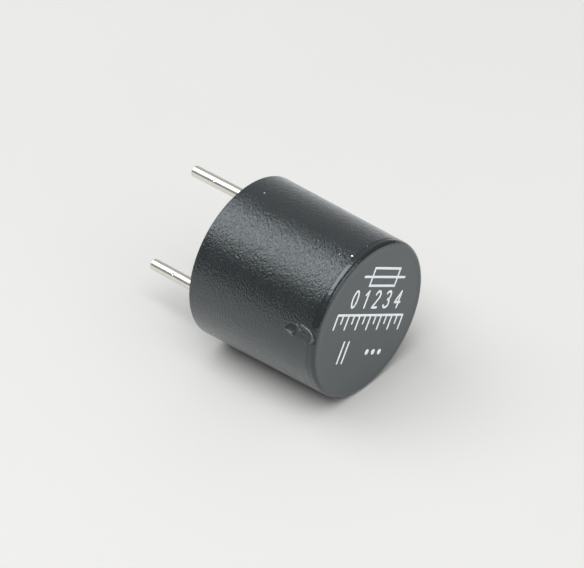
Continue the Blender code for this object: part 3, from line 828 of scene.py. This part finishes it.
def make_solder(side, sign, material):
    """Collar of solder turned round the rod: its outside is a quarter ellipse that flares to the paddle.

    Shallow waves keep it from looking turned: a share of the wall's thickness times the sine of the waves'
    number times the azimuth, which twists along the collar.
    """
    bore = WINDING_RADIUS + WIRE_RADIUS + ELEMENT_CLEARANCE
    angle = np.linspace(0.0, math.pi / 2, 17)
    radius = bore + SOLDER_LIP + SOLDER_FLARE * (1.0 - np.sin(angle))
    flare = np.stack([radius, SOLDER_LENGTH * (1.0 - np.cos(angle))], axis=-1)
    inner = np.linspace(SOLDER_LENGTH, 0.0, 9)
    profile = np.concatenate([flare, np.stack([np.full_like(inner, bore), inner], axis=-1)])
    azimuth = round_angles(72)
    grid = turned_grid(profile, azimuth)
    thickness = (profile[:, 0] - bore)[:, None]
    phase = SOLDER_WAVES * azimuth + SOLDER_WAVE_TWIST * profile[:, 1:] / SOLDER_LENGTH
    wave = SOLDER_WAVE_HEIGHT * thickness * np.sin(phase)
    grid[:, :, 0] += wave * np.cos(azimuth)
    grid[:, :, 1] += wave * np.sin(azimuth)
    faces = grid_faces(*grid.shape[:2], closed_rows=True).tolist()
    start = sign * (LEAD_PITCH / 2 - PADDLE_THICKNESS / 2 - ELEMENT_CLEARANCE)
    points = laid_along_x(grid.reshape(-1, 3), -sign, start)
    return place_mesh(f"solder_{side}_collar", points, faces, [material])


# Print on the head


def stroke(path, closed=False, half_width=INK_HALF_WIDTH):
    """Body of one stroke of ink along a path in the plane of the print.

    Across the path the ink is a hump, whose height is one less the fourth power of the share of the half
    width, and its foot lies a little below the face. At a bend the section lies on the bisector and widens
    by one over the cosine of half the turn. Past each end of an open path, width and height follow a
    quarter circle to a point.
    """
    path = np.asarray(path, float)
    heading = np.diff(path, axis=0, append=path[:1])
    heading /= np.linalg.norm(heading, axis=1)[:, None]
    if not closed:
        heading[-1] = heading[-2]
    before = np.roll(heading, 1, axis=0) if closed else np.concatenate([heading[:1], heading[:-1]])
    along = before + heading
    along /= np.linalg.norm(along, axis=1)[:, None]
    widen = 1.0 / (along * heading).sum(axis=1)
    if not closed:
        angle = np.radians(np.linspace(0.0, 90.0, 7)[1:])[:, None]
        past = half_width * np.sin(angle)
        fall = np.cos(angle)[:, 0]
        count = len(angle)
        path = np.concatenate([(path[0] - past * along[0])[::-1], path, path[-1] + past * along[-1]])
        along = np.concatenate([along[:1].repeat(count, 0), along, along[-1:].repeat(count, 0)])
        widen = np.concatenate([fall[::-1], widen, fall])
    share = np.linspace(-1.0, 1.0, 9)
    across = half_width * np.concatenate([share, [1.0, -1.0]])
    lift = np.concatenate([INK_HEIGHT * (1.0 - share**4), [-INK_SUNK, -INK_SUNK]])
    right = np.stack([along[:, 1], -along[:, 0]], axis=-1)
    plane = path[:, None] + right[:, None] * (widen[:, None] * across)[:, :, None]
    rise = np.where(lift > 0.0, np.minimum(widen, 1.0)[:, None] * lift, lift)
    grid = np.concatenate([plane, rise[:, :, None]], axis=-1)
    if closed:
        return grid.reshape(-1, 3), grid_faces(*grid.shape[:2], closed_rows=True).tolist()
    return closed_body(grid)


def bend(x, y, half_x, half_y, start, end, steps=24):
    """Path along part of an ellipse, angles in degrees."""
    angle = np.radians(np.linspace(start, end, steps + 1))
    return np.stack([x + half_x * np.cos(angle), y + half_y * np.sin(angle)], axis=-1)


def digit_strokes(digit):
    """Paths of a plain figure from nought to four, about its own centre. Nought is one closed ellipse."""
    w, h = DIGIT_HALF_WIDTH, DIGIT_HALF_HEIGHT
    if digit == 0:
        return [bend(0.0, 0.0, w, h, 0.0, 352.5, 47)]
    if digit == 1:
        return [[(-0.6 * w, 0.55 * h), (0.3 * w, h)], [(0.3 * w, h), (0.3 * w, -h)]]
    if digit == 2:
        top = bend(0.0, 0.48 * h, 0.95 * w, 0.52 * h, 165.0, -30.0)
        return [np.concatenate([top, [(-w, -h)]]), [(-w, -h), (w, -h)]]
    if digit == 3:
        upper = bend(-0.1 * w, 0.5 * h, 0.95 * w, 0.5 * h, 150.0, -80.0)
        lower = bend(-0.1 * w, -0.48 * h, 1.1 * w, 0.52 * h, 80.0, -150.0)
        return [upper, lower]
    head, foot = (0.5 * w, h), (0.5 * w, -h)
    left, right = (-1.1 * w, -0.35 * h), (1.2 * w, -0.35 * h)
    return [[head, left], [left, right], [head, foot]]


def print_strokes():
    """Strokes of the print: a fuse symbol, a row of figures, their scale, and a row of bars and dots."""
    strokes = []
    box_x, box_y = SYMBOL_BOX
    box = [(-box_x, -box_y), (box_x, -box_y), (box_x, box_y), (-box_x, box_y)]
    strokes.append(stroke(np.array(box) + [0.0, SYMBOL_ROW], closed=True))
    strokes.append(stroke([(-SYMBOL_HALF_LENGTH, SYMBOL_ROW), (SYMBOL_HALF_LENGTH, SYMBOL_ROW)]))
    for digit in range(5):
        centre = np.array([(digit - 2) * DIGIT_STEP, DIGIT_ROW])
        for path in digit_strokes(digit):
            strokes.append(stroke(np.asarray(path) + centre, closed=digit == 0))
    strokes.append(stroke([(-SCALE_HALF_LENGTH, SCALE_ROW), (SCALE_HALF_LENGTH, SCALE_ROW)]))
    for i, x in enumerate(np.linspace(-SCALE_HALF_LENGTH, SCALE_HALF_LENGTH, TICKS)):
        length = TICK_SHORT if i % 2 else TICK_LONG
        strokes.append(stroke([(x, SCALE_ROW), (x, SCALE_ROW - length)]))
    for x in BAR_PLACES:
        strokes.append(stroke([(x, BAR_TOP), (x, BAR_FOOT)]))
    for x in DOT_PLACES:
        strokes.append(stroke([(x, DOT_ROW), (x + DOT_LENGTH, DOT_ROW)], half_width=DOT_RADIUS))
    return strokes


def make_print(material):
    """The print as one piece: every stroke laid on the sunk head, reading along its own azimuth."""
    points = []
    faces = []
    count = 0
    for stroke_points, stroke_faces in print_strokes():
        points.append(stroke_points)
        faces += [[i + count for i in face] for face in stroke_faces]
        count += len(stroke_points)
    plane = np.concatenate(points)
    c, s = math.cos(READING_AZIMUTH), math.sin(READING_AZIMUTH)
    x = c * plane[:, 0] - s * plane[:, 1]
    y = s * plane[:, 0] + c * plane[:, 1]
    z = HEAD_Z - HEAD_SINK + plane[:, 2]
    return place_mesh("head_print", np.stack([x, y, z], axis=-1), faces, [material])


def make_specks(material):
    """Pale specks: flat balls half sunk in the side."""
    polar = np.linspace(math.pi, 0.0, 9)
    profile = np.stack([np.sin(polar), np.cos(polar)], axis=-1)
    ball, ball_faces = closed_body(turned_grid(profile, round_angles(12)))
    points = []
    faces = []
    for azimuth, z, radius in SIDE_SPECKS:
        out = np.array([math.cos(azimuth), math.sin(azimuth), 0.0])
        across = np.array([-math.sin(azimuth), math.cos(azimuth), 0.0])
        faces += [[i + len(points) * len(ball) for i in face] for face in ball_faces]
        centre = side_radius(z) * out + [0.0, 0.0, z]
        axes = np.stack([SPECK_FLATNESS * out, across, [0.0, 0.0, 1.0]])
        points.append(centre + radius * ball @ axes)
    return place_mesh("side_specks", np.concatenate(points), faces, [material])


# Stage


def make_floor():
    """Round floor that touches the cap's side along one line, seen only from above."""
    touch = Vector((math.cos(FLOOR_TOUCH_AZIMUTH), math.sin(FLOOR_TOUCH_AZIMUTH), 0.0))
    middle_z = (STAND_OFF + HEAD_Z) / 2
    centre = touch * side_radius(middle_z) + Vector((0.0, 0.0, middle_z))
    sideways = Vector((0.0, 0.0, 1.0)).cross(FLOOR_NORMAL).normalized()
    ahead = FLOOR_NORMAL.cross(sideways)
    angles = round_angles(128)
    rim = [centre + FLOOR_RADIUS * (math.cos(a) * sideways + math.sin(a) * ahead) for a in angles]
    material, tree, shader = new_material("pale_paper")
    shader.inputs["Roughness"].default_value = 0.75
    shader.inputs["Specular IOR Level"].default_value = 0.2
    place = tree.nodes.new("ShaderNodeTexCoord").outputs["Object"]
    cloud = noise(tree, place, 60.0, detail=3.0)
    tree.links.new(tinted(tree, cloud, FLOOR_COLOUR, 0.02), shader.inputs["Base Color"])
    see_through = tree.nodes.new("ShaderNodeBsdfTransparent")
    behind = tree.nodes.new("ShaderNodeNewGeometry").outputs["Backfacing"]
    mixed = node(tree, "ShaderNodeMixShader", {0: behind, 1: shader.outputs[0], 2: see_through.outputs[0]})
    tree.links.new(mixed.outputs[0], tree.nodes["Material Output"].inputs["Surface"])
    floor = place_mesh("floor", np.array([tuple(p) for p in rim]), [list(range(len(rim)))], [material])


def facing(tree, direction, axis, start, end, low, high):
    """Level that eases from low to high as the direction's part along the axis goes from start to end."""
    part = node(tree, "ShaderNodeVectorMath", {0: direction, 1: axis}, operation="DOT_PRODUCT")
    part = part.outputs["Value"]
    inputs = {"Value": part, "From Min": start, "From Max": end, "To Min": low, "To Max": high}
    return node(tree, "ShaderNodeMapRange", inputs, interpolation_type="SMOOTHSTEP").outputs[0]


def place_tent(name, radius, material):
    """Sphere round the scene: a half circle turned round the axis. The camera can't see it."""
    polar = np.linspace(math.pi, 0.0, 49)
    profile = radius * np.stack([np.sin(polar), np.cos(polar)], axis=-1)
    points, faces = closed_body(turned_grid(profile, round_angles(96)))
    tent = place_mesh(name, points, faces, [material])
    tent.visible_camera = False
    return tent


def glowing_material(name):
    """Material with no surface shader yet, and its node tree."""
    material = bpy.data.materials.new(name)
    material.use_nodes = True
    tree = material.node_tree
    tree.nodes.remove(tree.nodes["Principled BSDF"])
    return material, tree


def make_tent_lining():
    """Even glow just inside the tent, which lights surfaces and shows in no reflection."""
    material, tree = glowing_material("tent_lining")
    glow = node(tree, "ShaderNodeEmission", {"Color": (1.0, 1.0, 1.0, 1.0), "Strength": TENT_LINING_LEVEL})
    tree.links.new(glow.outputs[0], tree.nodes["Material Output"].inputs["Surface"])
    place_tent("tent_lining", TENT_LINING_RADIUS, material).visible_glossy = False


def make_tent():
    """Light tent round the scene: bright behind the object on the left, dim on the right and in front."""
    material, tree = glowing_material("tent_cloth")
    place = tree.nodes.new("ShaderNodeTexCoord").outputs["Object"]
    direction = node(tree, "ShaderNodeVectorMath", {0: place}, operation="NORMALIZE").outputs[0]
    back_level = facing(tree, direction, RIGHT, 0.15, 0.5, TENT_BACK_LEVEL, TENT_BACK_RIGHT_LEVEL)
    share = facing(tree, direction, BACK, -0.3, 0.4, 0.0, 1.0)
    levels = {"Factor": share, "A": TENT_FRONT_LEVEL, "B": back_level}
    level = node(tree, "ShaderNodeMix", levels).outputs["Result"]
    glow = node(tree, "ShaderNodeEmission", {"Color": TENT_COLOUR, "Strength": level})
    tree.links.new(glow.outputs[0], tree.nodes["Material Output"].inputs["Surface"])
    place_tent("tent", TENT_RADIUS, material)


def make_lamp(name, place, width, level, diffuse, glossy):
    """Square lamp that faces the object. Its power is the level times pi times its area."""
    direction = (place[0] * RIGHT + place[1] * FLOOR_NORMAL + place[2] * BACK).normalized()
    lamp = bpy.data.lights.new(name, "AREA")
    lamp.shape = "SQUARE"
    lamp.size = 2 * LAMP_DISTANCE * math.tan(math.radians(width) / 2)
    lamp.energy = level * math.pi * lamp.size**2
    obj = bpy.data.objects.new(name, lamp)
    obj.rotation_euler = direction.to_track_quat("Z", "Y").to_euler()
    obj.location = direction * LAMP_DISTANCE
    obj.visible_camera = False
    obj.visible_diffuse = diffuse
    obj.visible_glossy = glossy
    bpy.context.scene.collection.objects.link(obj)


def make_world():
    """Pale backdrop, which the camera sees past the floor, and which the tent keeps off the object."""
    world = bpy.data.worlds.new("pale_room")
    world.use_nodes = True
    background = world.node_tree.nodes["Background"]
    background.inputs["Color"].default_value = WORLD_COLOUR
    background.inputs["Strength"].default_value = 1.0
    bpy.context.scene.world = world


def make_camera():
    """Camera at its place, turned to its aim, with its right edge parallel to the floor."""
    camera = bpy.data.cameras.new("camera")
    camera.sensor_fit = "HORIZONTAL"
    camera.sensor_width = CAMERA_SENSOR
    camera.lens = CAMERA_LENS
    camera.clip_start = 0.001
    camera.clip_end = 2.0
    obj = bpy.data.objects.new("camera", camera)
    turn = Matrix((RIGHT, RIGHT.cross(VIEW), -VIEW)).transposed()
    obj.matrix_world = Matrix.Translation(CAMERA_PLACE) @ turn.to_4x4()
    bpy.context.scene.collection.objects.link(obj)
    bpy.context.scene.camera = obj


def dress(piece, cad_node):
    """Lets a piece ride on the fuse and stand for its solid, which it hides."""
    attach(piece, BODY)
    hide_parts(cad_node)


bpy.context.scene.view_settings.view_transform = "Standard"
make_camera()
make_world()
make_floor()
make_tent()
make_tent_lining()
for name, values in LAMPS.items():
    make_lamp(name, *values)

grain = moulded_grain_group()
side_grain = {
    "Cell": 0.14 * MM,
    "Squeeze": 1.9,
    "Fine Share": 0.5,
    "Fade Start": HEAD_Z - SMOOTH_BAND - GRAIN_FADE,
    "Fade End": HEAD_Z - SMOOTH_BAND,
}
rim_grain = {"Cell": 0.17 * MM, "Squeeze": 1.0, "Fine Share": 0.3}
head_grain = {"Cell": 0.12 * MM, "Squeeze": 1.0, "Fine Share": 0.6}

# Finishes of the black moulding: colour, roughness, grain, relief, specular level and sheen
cap_finishes = {
    "grained": ((0.008, 0.0088, 0.0095), 0.19, side_grain, 0.0305 * MM, 0.79, 0.18),
    "smooth": ((0.010, 0.011, 0.012), 0.18, rim_grain, 0.017 * MM, 0.85, 0.04),
    "satin": ((0.034, 0.038, 0.040), 0.4, head_grain, 0.003 * MM, 0.8, 0.1),
    # The torn finish is dull and dark, partly painted shade; the worn and scuffed finishes are paler, partly
    # painted highlight
    "torn_and_shaded": ((0.016, 0.017, 0.018), 0.6, head_grain, 0.006 * MM, 0.4, 0.0),
    "worn_and_highlit": ((0.052, 0.055, 0.057), 0.35, head_grain, 0.006 * MM, 0.8, 0.0),
    "scuffed_and_highlit": ((0.115, 0.120, 0.124), 0.35, head_grain, 0.006 * MM, 0.9, 0.0),
}
plug_finish = ((0.011, 0.012, 0.013), 0.34, head_grain, 0.004 * MM, 0.5, 0.0)
moulding = {}
for name, values in cap_finishes.items():
    moulding[name] = moulding_material(f"moulding_{name}", grain, *values)
plug_moulding = moulding_material("moulding_plug", grain, *plug_finish)

# Colour, roughness, size of the texture's cells and relief, and for the leads how drawn and how metallic
tinned = metal_material("tinned_copper", (0.73, 0.715, 0.655), 0.18, 0.05 * MM, 0.0003 * MM, 0.04, 0.9)
fuse_wire = metal_material("fuse_wire", (0.70, 0.66, 0.60), 0.24, 0.03 * MM, 0.0006 * MM)
solder = metal_material("satin_solder", (0.62, 0.62, 0.62), 0.30, 0.12 * MM, 0.006 * MM)
ceramic = speckled_material("core_ceramic", (0.80, 0.78, 0.72), 0.6, 0.06 * MM, 0.003 * MM)
ink = speckled_material("print_ink", (0.59, 0.63, 0.655), 0.5, 0.04 * MM, 0.001 * MM)
# Pale specks on the cap's side
speck_material = speckled_material("pale_speck", (0.80, 0.80, 0.78), 0.8, 0.03 * MM, 0.002 * MM)

dress(make_cap(moulding), "cap")
dress(make_base(plug_moulding), "base")
dress(make_core(ceramic), "element_core")
dress(make_winding(fuse_wire), "element_wire")
for side, sign in (("left", -1.0), ("right", 1.0)):
    dress(make_lead(side, sign * LEAD_PITCH / 2, tinned), f"lead_{side}")
    dress(make_solder(side, sign, solder), f"solder_{side}")
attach(make_print(ink), BODY)
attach(make_specks(speck_material), BODY)
